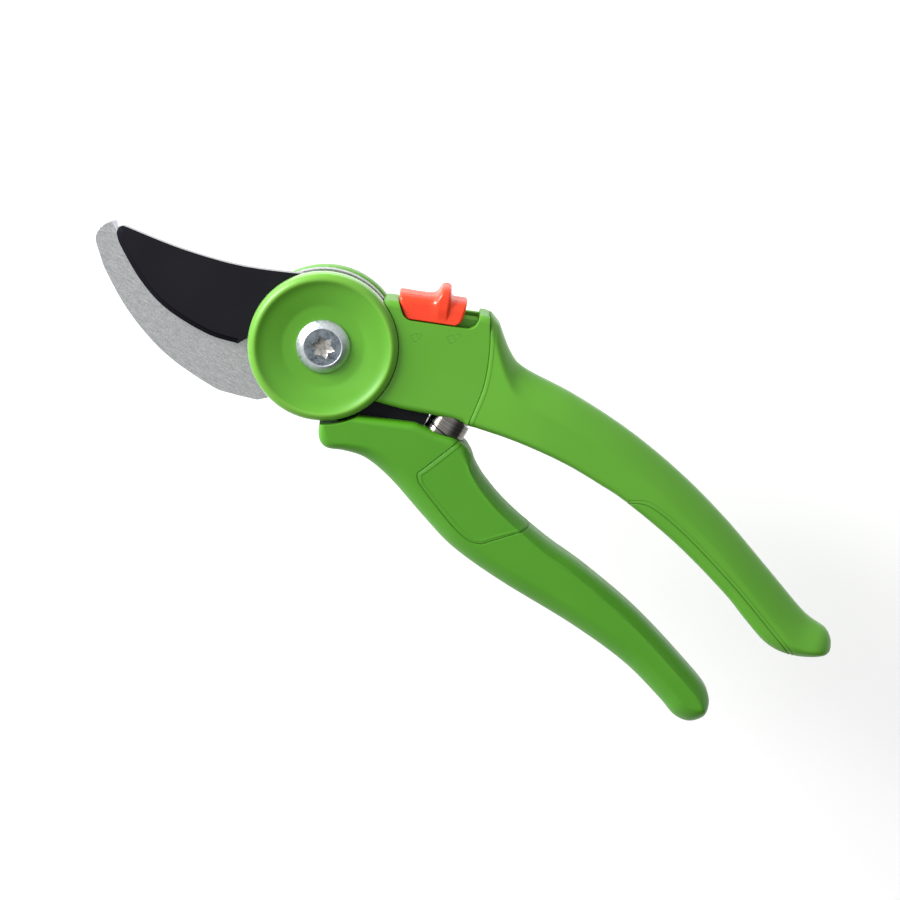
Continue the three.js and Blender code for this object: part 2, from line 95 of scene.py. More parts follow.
LOCK_X, LOCK_Y = 14, 15.9
LOCK_TURN = math.radians(21.5)
SLIDER_ENDS = (-2.6, 14.0)
SLIDER_HALF_WIDTH = 4.35
SLIDER_MIDDLE_Z = 7.5
SLIDER_ROOF_RADIUS = 2.7
END_ROUNDING = 0.7

# ---- handles and head ----
STATIONS = 150                # rings along a handle
PARTING_GROOVE = (0.3, 0.1)   # width and depth
UPPER_PAD_GROOVE = (0.34, 0.07)
FINE_GROOVE = (0.34, 0.06)
FINGER_PAD_GROOVE = (0.36, 0.075)
GRIP_BEAD = (0.5, 0.04)       # width and height
FINGER_PAD_BEAD = (0.5, 0.045)
HEAD_ROUNDING = 1.7
HEAD_ROUNDED_FROM, HEAD_ROUNDED_TO = 5, 41
HOOK_RIVETS = ((21.5, 5.5), (29.5, 9))
RIVET_SEAT_R, RIVET_SEAT_DEPTH = 2.8, 1.3
SIGN_TURN = math.radians(-30)

# ---- grain of the plastics, in cells per metre ----
PLASTIC_GRAIN = 5200
PAD_GRAIN = 2300

# ---- studio ----
FLOOR = -70                   # well below the shears, so that they throw no hard shadow on it
CAMERA_TIP = math.radians(11.5)
CAMERA_ROLL = math.radians(30)
CAMERA_TARGET = (39.6, -7.6, 7)
CAMERA_DISTANCE = 0.95        # metres, as is the width of the view
VIEW_WIDTH = 0.2184
KEY_TARGET = (40, -5, 5)
KEY_SIZE, KEY_DISTANCE = 0.5, 1.0   # metres
KEY_POWER = 20
WORLD_BRIGHT = 0.82
WORLD_DARK = 0.08
WORLD_FADE = (0.3, 0.93)      # cosines to the dark side where the fall-off starts and ends


# ------------------------------------------------------------------ curves

def spline(points, steps=8):
    """Smooth curve through the points, the same curve that the CAD outlines use."""
    p = np.array(points, float)
    last = len(p) - 1
    out = [p[0]]
    for i in range(last):
        a, b = p[i], p[i + 1]
        before = p[max(i - 1, 0)]
        after = p[min(i + 2, last)]
        slope_a = (b - before) / 2
        slope_b = (after - a) / 2
        for k in range(1, steps + 1):
            t = k / steps
            out.append((2 * a - 2 * b + slope_a + slope_b) * t ** 3
                       + (3 * b - 3 * a - 2 * slope_a - slope_b) * t ** 2
                       + slope_a * t + a)
    return np.array(out)


def outline(start, *runs):
    """Closed outline from runs: a run of one point is a straight line, a longer one is smooth."""
    points = [np.array(start, float)]
    for run in runs:
        if len(run) == 1:
            points.append(np.array(run[0], float))
        else:
            points.extend(spline([points[-1], *run])[1:])
    if np.linalg.norm(points[-1] - points[0]) < 1e-6:
        points.pop()
    return np.array(points)


def arc(radius, start, end, steps=48, centre=(0, 0)):
    angles = np.linspace(start, end, steps + 1)
    return np.column_stack([centre[0] + radius * np.cos(angles), centre[1] + radius * np.sin(angles)])


def by_length(points, count):
    """The same curve with evenly spaced points."""
    points = np.array(points, float)
    gaps = np.linalg.norm(np.diff(points, axis=0), axis=1)
    along = np.concatenate([[0], np.cumsum(gaps)])
    at = np.linspace(0, along[-1], count)
    return np.column_stack([np.interp(at, along, points[:, k]) for k in range(points.shape[1])])


def sideways(line):
    """Unit directions to the left of a line, one at each of its points."""
    ahead = np.gradient(line, axis=0)
    side = np.column_stack([-ahead[:, 1], ahead[:, 0]])
    return side / np.linalg.norm(side, axis=1)[:, None]


def strip(line, width):
    """Closed outline of a band of that width along a line."""
    line = np.array(line, float)
    side = sideways(line)
    return np.vstack([line + side * width / 2, (line - side * width / 2)[::-1]])


def in_lock(points):
    """From the lock's own slide direction to the frame."""
    u, v = np.array(points, float).T
    c, s = math.cos(LOCK_TURN), math.sin(LOCK_TURN)
    return np.column_stack([LOCK_X + u * c - v * s, LOCK_Y + u * s + v * c])


def from_lock(point):
    """From the frame to the lock's own slide direction and height."""
    x, y = point[0] - LOCK_X, point[1] - LOCK_Y
    c, s = math.cos(LOCK_TURN), math.sin(LOCK_TURN)
    return x * c + y * s, y * c - x * s


# ------------------------------------------------------------------ outlines

GRIP_START = (41.9, 0.9)
GRIP_RUN = [(50, 2.6), (58.1, 3.7), (66.2, 4.2), (74.2, 4), (82.4, 3.4), (98.4, 0.4),
            (114.5, -4.3), (122.6, -7.5), (130, -10), (136.3, -9.7), (142.3, -7),
            (144.9, -4.1), (142.1, -0.4), (134.9, 0.7), (122.9, 5.1), (106.8, 11),
            (90.8, 15.5), (74.7, 18.3), (58.6, 19.3), (45.5, 18.9), (40.4, 20.5), (34.4, 25.3)]

HEAD = outline(
    GRIP_START,
    [(46, 12)],
    [(42, 19.5)],
    [(38, 22.3), (34.4, 25.3)],
    [(32.2, 26), (29.8, 25.8), (27.4, 24.6)],
    [(9.9, 18.4)],
    [(7.9, 17.5), (6.7, 16.0)],
    [(4, 10)],
    [(4, -5.7)],
    [(17, -5.7)],
    [(24.1, -3.9), (30.9, -1.6), (36.5, 0.1), GRIP_START],
)

PARTING = spline([(40, -1.6), (39.4, 4.2), (38.2, 11.4), (35, 19.6), (30.2, 28)], 12)
UPPER_PAD_LINE = spline([(82.5, 3.4), (88, 5.6), (99, 3.8), (115.6, -1.3), (128, -6), (136, -9.2),
                         (138.4, -11)], 12)
FINGER_PAD_LINE = np.vstack([
    spline([(40.6, -1), (39.4, -4.4), (35.9, -13.2), (35.1, -15.4), (36.4, -17.1)], 10),
    spline([(36.4, -17.1), (40.6, -19), (49.4, -22.5), (54.5, -23.5), (57.3, -22.6)], 10)[1:],
    spline([(57.3, -22.6), (61.9, -17.6), (65.4, -13.8), (67.6, -11)], 10)[1:],
])
FINGER_PAD_CENTRE = np.array([50, -14])

LOWER_RUN = [(22.2, -18.8), (30.3, -20.4), (42.4, -24.7), (52.1, -27.6), (66.1, -29.1), (86.3, -29.8),
             (102.3, -31.6), (114.4, -35), (120, -37), (124.3, -36.3), (126.5, -32.6),
             (124.1, -28), (114.8, -24.2), (98.7, -19.2), (82.7, -16.1), (70.7, -14.7),
             (58.7, -12.3), (50.8, -9.5), (46.4, -7.1), (44.4, -5.4), (42, -4.1)]
LOWER_TOP = [(38.5, -3.8), (34.6, -4.6), (28.6, -5.2)]
LOWER_CORNER = [(8.6, -17), (9.5, -19), (11.1, -20.7), (13.2, -21.1), (16.3, -19.9)]

HEEL = (-18.1, -10.2)
CUTTING_EDGE = spline([HEEL, (-25.6, -11.8), (-36.6, -11.4), (-45.3, -8.6), (-53.9, -3.5), (-56.3, -1.2)], 12)
HOOK_INNER = [(-21, -7.3), (-30, -8.5), (-42, -7), (-52, -2.7), (-56.9, -0.1)]


def blade_outline():
    return np.vstack([
        spline([(-56.5, -0.3), (-56.4, 0.5), (-55.8, 1.2), (-54.9, 1.4)]),
        spline([(-54.9, 1.4), (-41.2, 3.3), (-27.5, 6.6), (-15.6, 11.3), (-10.2, 14.1)])[1:],
        arc(BLADE_BOSS_R, 2.15, 0.85),
        [(11.6, 9.2), (13.4, 7.4)],
        arc(BLADE_BOSS_R, 0.52, -0.17),
        spline([(16.75, -2.9), (23, -2.7), (28, -2.4), (30.7, -2.3)])[1:],
        spline([(30.7, -9), (30.9, -12.4), (35, -13.8), (46, -15)]),
        [(44, -19)],
        spline([(44, -19), (32, -17.6), (20, -16.6)])[1:],
        arc(BLADE_BOSS_R, -0.94, -2.75),
        [(-16.8, -7.9)],
        CUTTING_EDGE,
    ])


def hook_outline():
    return np.vstack([
        spline([(-56.9, -0.1), (-57.4, 0.6), (-58.1, 0.75), (-59.4, -0.4), (-60.2, -1.9), (-60.45, -3.7),
                (-59.8, -5.5), (-57.2, -8.1), (-53.5, -11.2), (-43.9, -17), (-31.9, -21.3), (-18.7, -22.7),
                (-13.2, -21.9), (-7, -20.1)]),
        arc(HOOK_BOSS_R, -1.81, -0.2),
        [(30.5, 0.4), (31.2, 11), (15.4, 9.7)],
        arc(HOOK_BOSS_R, 0.56, 3.4, 90),
        spline([(-17.6, -4.65), *HOOK_INNER])[1:-1],
    ])


# ------------------------------------------------------------------ meshes

def add_to_scene(name, data):
    obj = bpy.data.objects.new(name, data)
    bpy.context.scene.collection.objects.link(obj)
    return obj


def new_object(name, vertices, faces):
    mesh = bpy.data.meshes.new(name)
    mesh.from_pydata([tuple(v) for v in np.array(vertices, float) * MM], [], [tuple(f) for f in faces])
    mesh.validate()
    obj = add_to_scene(name, mesh)
    bm = bmesh.new()
    bm.from_mesh(mesh)
    bmesh.ops.recalc_face_normals(bm, faces=bm.faces)
    bm.to_mesh(mesh)
    bm.free()
    return obj


def plate(name, points, z0, z1):
    """Flat plate of that outline between two heights."""
    points = np.array(points, float)
    n = len(points)
    low = np.column_stack([points, np.full(n, float(z0))])
    high = np.column_stack([points, np.full(n, float(z1))])
    faces = [list(range(n))[::-1], list(range(n, 2 * n))]
    faces += [(i, (i + 1) % n, n + (i + 1) % n, n + i) for i in range(n)]
    return new_object(name, np.vstack([low, high]), faces)


def cushion(name, points, z0, z1, rounding, x0, x1, count=320, steps=6):
    """Plate with its upper and lower edges rounded between x0 and x1, and nearly sharp elsewhere."""
    points = by_length(np.vstack([points, points[:1]]), count + 1)[:-1]
    ahead = np.roll(points, -1, axis=0) - np.roll(points, 1, axis=0)
    inward = np.column_stack([-ahead[:, 1], ahead[:, 0]]) / np.linalg.norm(ahead, axis=1)[:, None]
    share = np.clip(np.minimum(points[:, 0] - x0, x1 - points[:, 0]) / 2.5, 0.04, 1)
    rings = []
    turns = np.linspace(0, math.pi / 2, steps + 1)
    for base, sign, order in ((z0, 1, turns[::-1]), (z1, -1, turns)):
        for a in order:
            flat = points + inward * (share * rounding * (1 - math.cos(a)))[:, None]
            rings.append(np.column_stack([flat, base + sign * share * rounding * (1 - math.sin(a))]))
    return rings_to_mesh(name, rings)


def turned(name, profile, sides=128):
    """Solid of revolution about the pivot axis; a profile point is (radius, height)."""
    vertices = []
    rings = []
    for radius, height in profile:
        if radius < 1e-6:
            rings.append([len(vertices)])
            vertices.append((0, 0, height))
            continue
        rings.append(range(len(vertices), len(vertices) + sides))
        angles = np.arange(sides) * 2 * math.pi / sides
        ring = np.column_stack([radius * np.cos(angles), radius * np.sin(angles), np.full(sides, height)])
        vertices.extend(ring)
    faces = []
    count = len(rings)
    on_axis = len(rings[0]) == 1
    for i in range(count - 1 if on_axis else count):
        a, b = list(rings[i]), list(rings[(i + 1) % count])
        for k in range(sides):
            j = (k + 1) % sides
            if len(a) == 1:
                faces.append((a[0], b[k], b[j]))
            elif len(b) == 1:
                faces.append((a[k], a[j], b[0]))
            else:
                faces.append((a[k], a[j], b[j], b[k]))
    return new_object(name, vertices, faces)


def pin(name, radius, z0, z1, x=0, y=0, sides=96):
    return plate(name, arc(radius, 0, 2 * math.pi, sides, (x, y))[:-1], z0, z1)


def pin_along_y(name, radius, y0, y1, sides=72):
    ring = arc(radius, 0, 2 * math.pi, sides, (SPRING_X, SPRING_Z))[:-1]
    n = len(ring)
    near = np.column_stack([ring[:, 0], np.full(n, float(y0)), ring[:, 1]])
    far = np.column_stack([ring[:, 0], np.full(n, float(y1)), ring[:, 1]])
    faces = [list(range(n)), list(range(n, 2 * n))[::-1]]
    faces += [(i, n + i, n + (i + 1) % n, (i + 1) % n) for i in range(n)]
    return new_object(name, np.vstack([near, far]), faces)


def rings_to_mesh(name, rings):
    """Tube through rings of equal length, closed at both ends."""
    count = len(rings[0])
    faces = []
    for i in range(len(rings) - 1):
        for k in range(count):
            j = (k + 1) % count
            faces.append((i * count + k, i * count + j, (i + 1) * count + j, (i + 1) * count + k))
    last = (len(rings) - 1) * count
    faces.append(tuple(range(count))[::-1])
    faces.append(tuple(range(last, last + count)))
    return new_object(name, np.vstack(rings), faces)


def bake(obj):
    """Applies the object's modifiers."""
    depsgraph = bpy.context.evaluated_depsgraph_get()
    mesh = bpy.data.meshes.new_from_object(obj.evaluated_get(depsgraph))
    obj.modifiers.clear()
    obj.data = mesh
    return obj


def combine(obj, tool, operation):
    modifier = obj.modifiers.new("cut", "BOOLEAN")
    modifier.operation = operation
    modifier.solver = "EXACT"
    modifier.object = tool
    bake(obj)
    bpy.data.objects.remove(tool)
    return obj


def cut(obj, *tools):
    for tool in tools:
        combine(obj, tool, "DIFFERENCE")
    return obj


def keep(obj, tool):
    return combine(obj, tool, "INTERSECT")


def join(obj, *others):
    for other in others:
        combine(obj, other, "UNION")
    return obj


def join_plain(obj, other):
    """Puts the other mesh into the first one without a boolean."""
    bm = bmesh.new()
    bm.from_mesh(obj.data)
    bm.from_mesh(other.data)
    bm.to_mesh(obj.data)
    bm.free()
    bpy.data.objects.remove(other)


def round_edges(obj, width, segments, angle):
    modifier = obj.modifiers.new("round", "BEVEL")
    modifier.width = width * MM
    modifier.segments = segments
    modifier.limit_method = "ANGLE"
    modifier.angle_limit = math.radians(angle)
    modifier.miter_outer = "MITER_ARC"
    return bake(obj)


def smooth(obj, angle=32):
    bm = bmesh.new()
    bm.from_mesh(obj.data)
    for face in bm.faces:
        face.smooth = True
    for edge in bm.edges:
        edge.smooth = edge.calc_face_angle(0) < math.radians(angle)
    bm.to_mesh(obj.data)
    bm.free()
    return obj


def keep_flats_flat(obj):
    """Large flat faces keep their own direction, so only the small roundings are shaded as curved."""
    modifier = obj.modifiers.new("weighted", "WEIGHTED_NORMAL")
    modifier.keep_sharp = True
    return bake(obj)


# ------------------------------------------------------------------ materials

SHADER_INPUTS = {"base": "Base Color", "rough": "Roughness", "normal": "Normal", "metal": "Metallic",
                 "ior": "IOR", "coat": "Coat Weight", "coat_rough": "Coat Roughness",
                 "subsurface": "Subsurface Weight", "subsurface_scale": "Subsurface Scale",
                 "subsurface_radius": "Subsurface Radius", "specular": "Specular IOR Level"}


class Nodes:
    """Short way to build a node material."""

    def __init__(self, name):
        self.material = bpy.data.materials.new(name)
        self.material.use_nodes = True
        self.tree = self.material.node_tree
        self.shader = self.tree.nodes["Principled BSDF"]

    def add(self, kind, inputs=None, **settings):
        node = self.tree.nodes.new(kind)
        for key, value in settings.items():
            setattr(node, key, value)
        for key, value in (inputs or {}).items():
            if isinstance(value, bpy.types.NodeSocket):
                self.tree.links.new(value, node.inputs[key])
            else:
                node.inputs[key].default_value = value
        return node

    def link(self, source, target):
        self.tree.links.new(source, target)

    def constants(self, **values):
        for key, value in values.items():
            self.shader.inputs[SHADER_INPUTS[key]].default_value = value

    def feed(self, **sockets):
        """Links each socket to that input of the shader."""
        for key, socket in sockets.items():
            self.link(socket, self.shader.inputs[SHADER_INPUTS[key]])

    def place(self, scale=(1, 1, 1), turn=(0, 0, 0)):
        coordinates = self.add("ShaderNodeTexCoord")
        return self.add("ShaderNodeMapping", {"Vector": coordinates.outputs["Object"], "Scale": scale,
                                              "Rotation": turn}).outputs["Vector"]

    def noise(self, vector, scale, detail=2.0, rough=0.5):
        return self.add("ShaderNodeTexNoise", {"Vector": vector, "Scale": scale, "Detail": detail,
                                               "Roughness": rough}).outputs["Fac"]

    def ramp(self, value, low, high, low_at=0.3, high_at=0.7):
        node = self.add("ShaderNodeMapRange", {"Value": value, "From Min": low_at, "From Max": high_at,
                                               "To Min": low, "To Max": high})
        return node.outputs["Result"]

    def mix(self, factor, a, b):
        node = self.add("ShaderNodeMix", data_type="RGBA")
        self.link(factor, node.inputs["Factor"])
        node.inputs[6].default_value = a
        node.inputs[7].default_value = b
        return node.outputs[2]

    def bump(self, height, strength, distance, normal):
        inputs = {"Height": height, "Strength": strength, "Distance": distance * MM, "Normal": normal}
        return self.add("ShaderNodeBump", inputs).outputs["Normal"]

    def soft_edges(self, radius, samples=6):
        return self.add("ShaderNodeBevel", {"Radius": radius * MM}, samples=samples).outputs["Normal"]


def moulded_plastic(name, pale, deep, rough, grain, edge, grain_scale=PLASTIC_GRAIN, shine=0.44, coat=0.0):
    """Satin moulded plastic: fine spark-eroded grain and a faint drift of tone."""
    n = Nodes(name)
    vector = n.place()
    drift = n.noise(vector, 60, 3)
    n.feed(base=n.mix(n.ramp(drift, 0, 1), deep, pale))
    fine = n.noise(vector, grain_scale, 2, 0.6)
    cloudy = n.noise(vector, 420, 2)
    n.feed(rough=n.ramp(cloudy, rough - 0.03, rough + 0.04))
    n.feed(normal=n.bump(fine, grain, 0.03, n.soft_edges(edge)))
    n.constants(ior=1.48, specular=shine, coat=coat, coat_rough=0.25)
    return n.material


def green_plastic():
    pale, deep = (0.090, 0.306, 0.018, 1), (0.083, 0.292, 0.015, 1)
    return moulded_plastic("green_plastic", pale, deep, 0.40, 0.22, 0.28)


def green_pad():
    pale, deep = (0.086, 0.302, 0.017, 1), (0.078, 0.286, 0.014, 1)
    return moulded_plastic("green_soft_pad", pale, deep, 0.5, 0.5, 0.3, PAD_GRAIN)


def disc_wall_painted_highlight():
    """The outer wall of the disc, left glossy by the mould; its paler green is a painted highlight."""
    pale, deep = (0.20, 0.44, 0.10, 1), (0.17, 0.41, 0.08, 1)
    return moulded_plastic("green_glossy_wall_painted_highlight", pale, deep, 0.3, 0.1, 0.28, coat=1.0)


def disc_rim_painted_highlight():
    """The rounded rim of the disc; its slightly paler green is a painted highlight."""
    pale, deep = (0.122, 0.342, 0.028, 1), (0.114, 0.328, 0.024, 1)
    return moulded_plastic("green_rim_painted_highlight", pale, deep, 0.38, 0.2, 0.28, shine=0.5)


def notch_green():
    """The walls of the lock's notch, rubbed matt by the slider."""
    pale, deep = (0.105, 0.36, 0.02, 1), (0.095, 0.34, 0.017, 1)
    return moulded_plastic("green_matt_notch", pale, deep, 0.7, 0.22, 0.2, shine=0.08)


def lower_green(name, rough, grain, grain_scale=PLASTIC_GRAIN):
    """The finger-side handle gets a slightly darker, more saturated green than the palm-side one."""
    pale, deep = (0.061, 0.254, 0.0075, 1), (0.054, 0.240, 0.0055, 1)
    return moulded_plastic(name, pale, deep, rough, grain, 0.28, grain_scale)


def red_plastic():
    """Glossy translucent orange-red plastic."""
    n = Nodes("red_plastic")
    vector = n.place()
    drift = n.noise(vector, 90, 2)
    n.feed(base=n.mix(n.ramp(drift, 0, 1), (0.76, 0.036, 0.006, 1), (0.82, 0.05, 0.009, 1)))
    n.feed(rough=n.ramp(n.noise(vector, 700, 2), 0.22, 0.3))
    n.feed(normal=n.bump(n.noise(vector, 900, 2), 0.02, 0.02, n.soft_edges(0.3, 12)))
    n.constants(ior=1.5, subsurface=0.15, subsurface_scale=0.002, subsurface_radius=(1.0, 0.3, 0.1))
    return n.material


def satin_steel(name, light, dark, rough, turn=0.0, stretch=26):
    """Ground steel: short streaks in one direction over a fine grain."""
    n = Nodes(name)
    vector = n.place((1, stretch, 1), (0, 0, turn))
    streaks = n.noise(vector, 420, 4, 0.65)
    grain = n.noise(n.place(), 2200, 3, 0.7)
    both = n.add("ShaderNodeMath", {0: streaks, 1: grain}, operation="ADD").outputs[0]
    n.feed(base=n.mix(n.ramp(both, 0, 1, 0.75, 1.25), dark, light))
    n.feed(rough=n.ramp(both, rough - 0.06, rough + 0.06, 0.75, 1.25))
    n.feed(normal=n.bump(both, 0.22, 0.02, n.soft_edges(0.15)))
    n.constants(metal=1.0)
    return n.material


def zinc(name="bright_zinc", light=(0.66, 0.70, 0.73, 1), dark=(0.54, 0.58, 0.62, 1), rough=0.36):
    """Zinc plating: small mottled crystals and a few dull specks."""
    n = Nodes(name)
    vector = n.place()
    mottle = n.noise(vector, 620, 4, 0.7)
    specks = n.noise(vector, 1900, 2, 0.6)
    n.feed(base=n.mix(n.ramp(mottle, 0, 1, 0.36, 0.6), dark, light))
    n.feed(rough=n.ramp(specks, rough - 0.08, rough + 0.14))
    n.feed(normal=n.bump(mottle, 0.15, 0.03, n.soft_edges(0.06)))
    n.constants(metal=1.0)
    return n.material


def spring_steel():
    """Polished rolled strip with faint lines around the coil."""
    n = Nodes("spring_steel")
    vector = n.place((1, 30, 1))
    lines = n.noise(vector, 120, 3, 0.6)
    n.feed(base=n.mix(n.ramp(lines, 0, 1), (0.11, 0.104, 0.097, 1), (0.31, 0.294, 0.272, 1)))
    n.feed(rough=n.ramp(lines, 0.14, 0.24))
    n.feed(normal=n.bump(lines, 0.12, 0.03, n.soft_edges(0.08)))
    n.constants(metal=1.0)
    return n.material


def black_coating(name="black_coating", rough=0.5, shine=0.12):
    """Matt black non-stick coating with a faint orange-peel."""
    n = Nodes(name)
    vector = n.place()
    peel = n.noise(vector, 1400, 3, 0.6)
    drift = n.noise(vector, 70, 3)
    n.feed(base=n.mix(n.ramp(drift, 0, 1), (0.007, 0.0066, 0.0095, 1), (0.0095, 0.009, 0.0125, 1)))
    n.feed(rough=n.ramp(peel, rough - 0.05, rough + 0.06))
    n.feed(normal=n.bump(peel, 0.15, 0.03, n.soft_edges(0.12)))
    n.constants(ior=1.45, specular=shine)
    return n.material


def floor_paint():
    n = Nodes("floor_paint")
    n.feed(base=n.mix(n.noise(n.place(), 30, 2), (0.96, 0.96, 0.96, 1), (0.98, 0.98, 0.98, 1)))
    n.constants(rough=0.9, specular=0.1)
    return n.material


GREEN = green_plastic()
# paler green of the disc's outer wall: a painted highlight
DISC_WALL_HIGHLIGHT = disc_wall_painted_highlight()
# paler green of the disc's rim: a painted highlight
DISC_RIM_HIGHLIGHT = disc_rim_painted_highlight()
NOTCH_GREEN = notch_green()
PAD = green_pad()
LOWER_GREEN = lower_green("green_plastic_lower", 0.40, 0.22)
LOWER_PAD = lower_green("green_soft_pad_lower", 0.5, 0.55, PAD_GRAIN)
RED = red_plastic()
HOOK_STEEL = satin_steel("hook_steel", (0.62, 0.63, 0.635, 1), (0.36, 0.37, 0.378, 1), 0.44,
                         math.radians(75), 9)
# ground bevel at the hook's tip; its paler steel is partly its own finish and partly a painted highlight
TIP_STEEL_AND_HIGHLIGHT = satin_steel("ground_tip_steel_and_painted_highlight", (0.80, 0.80, 0.86, 1), (0.74, 0.74, 0.80, 1), 0.5, 0.0, 2)
EDGE_STEEL = satin_steel("edge_steel", (0.42, 0.42, 0.43, 1), (0.28, 0.28, 0.3, 1), 0.4, 0.0)
ZINC = zinc()
# much darker copy of the zinc for the bolt's flat top: painted shade for its dimmer reflection
ZINC_FLAT_SHADED = zinc("zinc_flat_painted_shade", (0.28, 0.325, 0.36, 1), (0.095, 0.115, 0.135, 1), 0.34)
# warmer copy of the zinc for the recess walls: its cream tint is a painted highlight, its darker mottle
# painted shade
ZINC_RECESS_PAINTED_LIGHT = zinc("zinc_recess_painted_light", (0.62, 0.6, 0.56, 1), (0.34, 0.33, 0.31, 1), 0.3)
SPRING = spring_steel()
BLACK = black_coating()
BLACK_GROUND = black_coating("black_ground_edge", 0.42, 0.02)
BLACK_STEP = black_coating("black_step", 0.6, 0.0)


def paint(obj, *materials):
    obj.data.materials.clear()
    for material in materials:
        obj.data.materials.append(material)
    return obj


def dress(obj, body, slot, *nodes):
    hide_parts(*nodes)
    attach(obj, body)
    return obj


# ------------------------------------------------------------------ handles

def fall(distance, reach, depth, crease):
    """How far the face has dropped at a distance from the side; crease is its slope where it starts."""
    x = np.clip(1 - distance / reach, 0, 1)
    return depth * (crease * x + (1 - crease) * (1 - np.sqrt(np.clip(1 - x * x, 0, 1))))


def between(t, start, end, a, b):
    """Smooth change from a to b while t goes from start to end."""
    x = np.clip((t - start) / (end - start), 0, 1)
    x = (x * x * (3 - 2 * x))[:, None]
    return np.array(a, float) * (1 - x) + np.array(b, float) * x


def bar(name, inner, outer, back, front, inner_side, outer_side, crown=0.1, grow=0.0, lip=None, across=44):
    """Rounded bar between two edge curves. back and front are its heights at each station; a side
    gives (reach, depth, crease) of its rounding at each station, and lip is the height of a low
    ridge where the rounding of the outer side begins."""
    rings = []
    lip = np.zeros(len(inner)) if lip is None else lip
    steps = (1 - np.cos(np.linspace(0, math.pi, across + 1))) / 2
    for a, b, low, high, side_a, side_b, ridge in zip(inner, outer, back, front, inner_side, outer_side, lip):
        width = np.linalg.norm(b - a)
        direction = (b - a) / max(width, 1e-6)
        width = max(width + 2 * grow, 0.02)
        start = a - direction * grow
        near = steps * width
        drop = np.hypot(fall(near, *side_a), fall(width - near, *side_b))
        half = (high - low) / 2
        drop = np.minimum(drop, half - 0.9)
        z = half - drop + crown * (4 * steps * (1 - steps) - 1) + grow
        z += ridge * np.exp(-((width - near - side_b[0]) / 0.5) ** 2)
        points = start + np.outer(near, direction)
        middle = (high + low) / 2
        rings.append(np.vstack([np.column_stack([points, middle + z]),
                                np.column_stack([points, middle - z])[::-1]]))
    return rings_to_mesh(name, rings)


def two_edges(run, start, extra_start, extra_end, count):
    """Splits the outline of a handle at its toe into two edge curves, each from the head to the toe."""
    whole = spline([start, *run], 10)
    toe = int(np.argmax(whole[:, 0]))
    first = np.vstack([extra_start, whole[:toe + 1]])
    second = np.vstack([extra_end, whole[toe:][::-1]])
    return by_length(first, count), by_length(second, count)


def engrave(obj, line, groove, make_core):
    """Shallow groove along a line: a thin upright band, less the core that it must not reach."""
    width, depth = groove
    band = plate("band", strip(line, width), -FAR, FAR)
    return cut(obj, cut(band, make_core(-depth)))


def raise_bead(obj, line, bead, make_skin, region):
    """Low bead along a line: a thin upright band, kept under a slightly grown skin."""
    width, height = bead
    band = keep(keep(plate("band", strip(line, width), -FAR, FAR), make_skin(height)), region)
    return join(obj, band)


def upper_bar(grow=0.0):
    inner, outer = two_edges(GRIP_RUN, GRIP_START, [(35.5, -0.9), (38.6, 0.1)],
                             [(27.5, 26), (30.8, 26.6)], STATIONS)
    t = np.linspace(0, 1, STATIONS)
    front = between(t, 0.0, 0.22, [12.75], [14.05])[:, 0]
    back = between(t, 0.0, 0.1, [0.1], [0.15])[:, 0]
    finger_side = between(t, 0.3, 0.75, (1.7, 2.2, 0.05), (3.0, 3.6, 0.08))
    palm_side = between(t, 0.02, 0.16, (3.4, 3.0, 0.2), (7.2, 6.0, 0.34))
    return bar("upper_bar", inner, outer, back, front, finger_side, palm_side, 0.12, grow)


def lower_bar(grow=0.0):
    inner_head = [(9, -9), (15.2, -10.8), *LOWER_TOP[::-1]]
    outer_head = spline(LOWER_CORNER, 6)[:-1]
    outer, inner = two_edges(LOWER_RUN, LOWER_CORNER[-1], outer_head, inner_head, STATIONS)
    t = np.linspace(0, 1, STATIONS)
    front = np.full_like(t, 14.05)
    back = np.full_like(t, 0.1)
    outer_side = between(t, 0.03, 0.22, (2.4, 2.4, 0.1), (4.3, 4.5, 0.36))
    inner_side = between(t, 0.24, 0.34, (1.6, 1.8, 0.1), (1.9, 4.6, 0.5))
    inner_side[:, 0] += between(t, 0.4, 0.8, [0], [0.8])[:, 0]
    lip = between(t, 0.24, 0.34, [0], [0.2])[:, 0] * between(t, 0.86, 0.95, [1], [0])[:, 0]
    return bar("lower_bar", outer, inner, back, front, outer_side, inner_side, 0.05, grow, lip)


def region_right_of_parting(shift):
    line = PARTING + np.array([shift, 0])
    return np.vstack([line, [(26, 40), (170, 40), (170, -30), (41, -30)]])


def upper_pad_region(shift):
    line = UPPER_PAD_LINE + np.array([0, shift])
    return np.vstack([[(82.5 - shift, -20)], line, [(139 + shift, -20)]])


def around_finger_pad(distance):
    """The line around the finger pad, moved outwards by a distance."""
    spread = FINGER_PAD_LINE - FINGER_PAD_CENTRE
    return FINGER_PAD_CENTRE + spread * (1 + distance / np.linalg.norm(spread, axis=1)[:, None])


def finger_pad_region(shift):
    return np.vstack([around_finger_pad(shift), [(70, 5), (40, 5)]])


def make_upper_grip():
    grip = keep(upper_bar(), plate("region", region_right_of_parting(SPLIT), -FAR, FAR))
    cut(grip, plate("pad_space", upper_pad_region(SPLIT), -FAR, FAR),
        pin_along_y("pocket", SPRING_POCKET_R, *UPPER_POCKET))
    engrave(grip, PARTING, PARTING_GROOVE, upper_bar)
    engrave(grip, UPPER_PAD_LINE, UPPER_PAD_GROOVE, upper_bar)
    engrave(grip, UPPER_PAD_LINE + np.array([0.15, 0.95]), FINE_GROOVE, upper_bar)
    beside = plate("beside", region_right_of_parting(0.4), -FAR, FAR)
    raise_bead(grip, PARTING + np.array([0.72, 0.05]), GRIP_BEAD, upper_bar, beside)
    smooth(paint(grip, GREEN))
    grip.name = "upper_grip_skin"
    return dress(grip, FIXED, "handle_green", "upper_grip")


